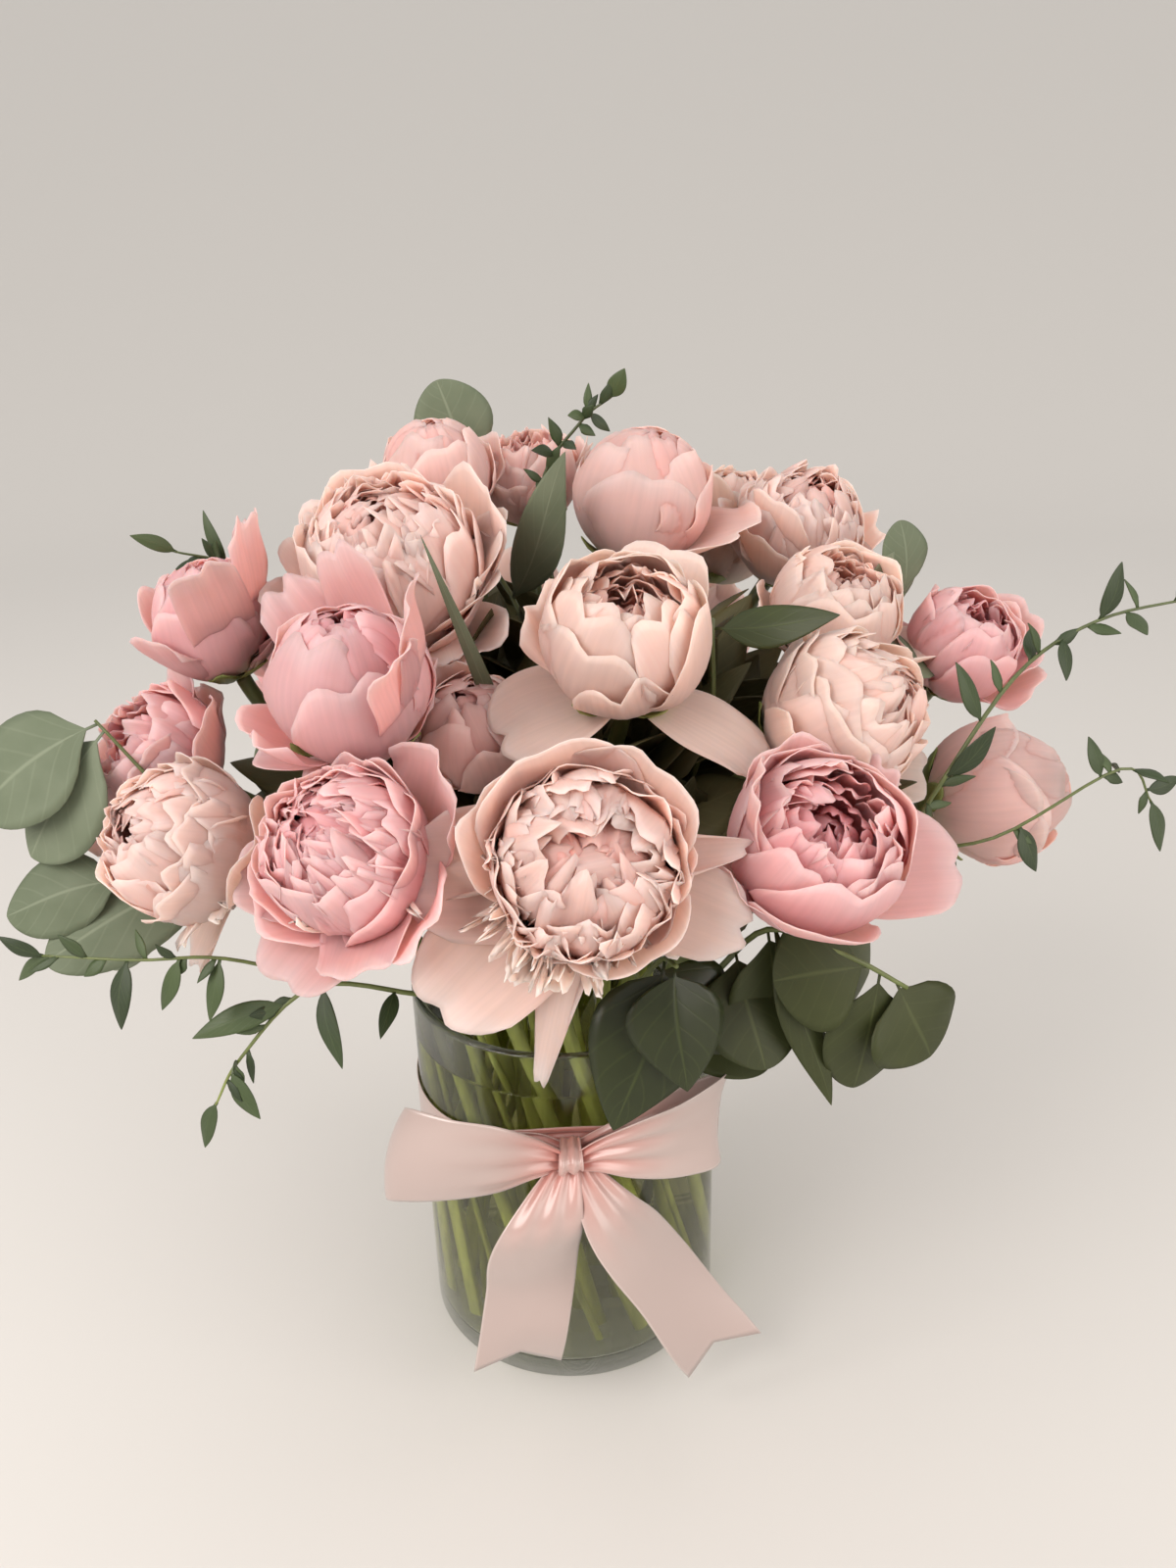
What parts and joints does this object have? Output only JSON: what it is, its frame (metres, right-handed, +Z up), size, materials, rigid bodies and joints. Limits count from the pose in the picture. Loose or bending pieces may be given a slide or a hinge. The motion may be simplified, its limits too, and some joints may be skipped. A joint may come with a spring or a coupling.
{
  "type": "flower arrangement in vase",
  "caption": "Clear glass cylinder vase holding a domed bunch of pink peonies with eucalyptus and leafy sprigs, tied round with a satin ribbon bow.",
  "frame": {"origin": "middle of the vase's foot, on the surface it stands on", "axes": "+Z up, -Y towards the ribbon bow at the front, +X to the right as seen from the front"},
  "size_m": [0.4665, 0.3588, 0.4414],
  "materials": {
    "vase_glass": "gloss",
    "vase_water": "gloss",
    "satin_ribbon": "satin",
    "petal_pink": "matte",
    "petal_blush": "matte",
    "petal_cream": "matte",
    "peony_stem": "satin",
    "eucalyptus_leaf": "matte",
    "salal_leaf": "gloss",
    "narrow_leaf": "satin"
  },
  "bodies": {
    "root": {"bloom_back_left": "petal_pink", "bloom_back_middle": "petal_cream", "bloom_back_right": "petal_blush", "bloom_front": "petal_blush", "bloom_hot_pink": "petal_pink", "bloom_left_cream": "petal_cream", "bloom_left_low": "petal_pink", "bloom_left_round": "petal_pink", "bloom_left_tall": "petal_pink", "bloom_middle": "petal_cream", "bloom_right_bowl": "petal_cream", "bloom_right_bud": "petal_pink", "bloom_right_front": "petal_pink", "bloom_right_high": "petal_blush", "bloom_right_middle": "petal_cream", "bloom_right_upper": "petal_blush", "bloom_ruffled": "petal_blush", "bloom_shaded": "petal_blush", "bloom_top_cream": "petal_cream", "bloom_top_left": "petal_blush", "bloom_top_middle": "petal_blush", "bloom_top_round": "petal_blush", "eucalyptus_back": "eucalyptus_leaf", "eucalyptus_left": "eucalyptus_leaf", "eucalyptus_low": "eucalyptus_leaf", "eucalyptus_right": "eucalyptus_leaf", "eucalyptus_top": "eucalyptus_leaf", "narrow_leaf_high": "narrow_leaf", "narrow_leaf_left": "narrow_leaf", "narrow_leaf_right": "narrow_leaf", "narrow_leaf_top": "narrow_leaf", "ribbon_band": "satin_ribbon", "ribbon_bow": "satin_ribbon", "salal_front": "salal_leaf", "salal_upper": "salal_leaf", "stem_back_left": "peony_stem", "stem_back_middle": "peony_stem", "stem_back_right": "peony_stem", "stem_front": "peony_stem", "stem_hot_pink": "peony_stem", "stem_left_cream": "peony_stem", "stem_left_low": "peony_stem", "stem_left_round": "peony_stem", "stem_left_tall": "peony_stem", "stem_middle": "peony_stem", "stem_right_bowl": "peony_stem", "stem_right_bud": "peony_stem", "stem_right_front": "peony_stem", "stem_right_high": "peony_stem", "stem_right_middle": "peony_stem", "stem_right_upper": "peony_stem", "stem_ruffled": "peony_stem", "stem_shaded": "peony_stem", "stem_top_cream": "peony_stem", "stem_top_left": "peony_stem", "stem_top_middle": "peony_stem", "stem_top_round": "peony_stem", "vase": "vase_glass", "water": "vase_water"}
  },
  "joints": []
}
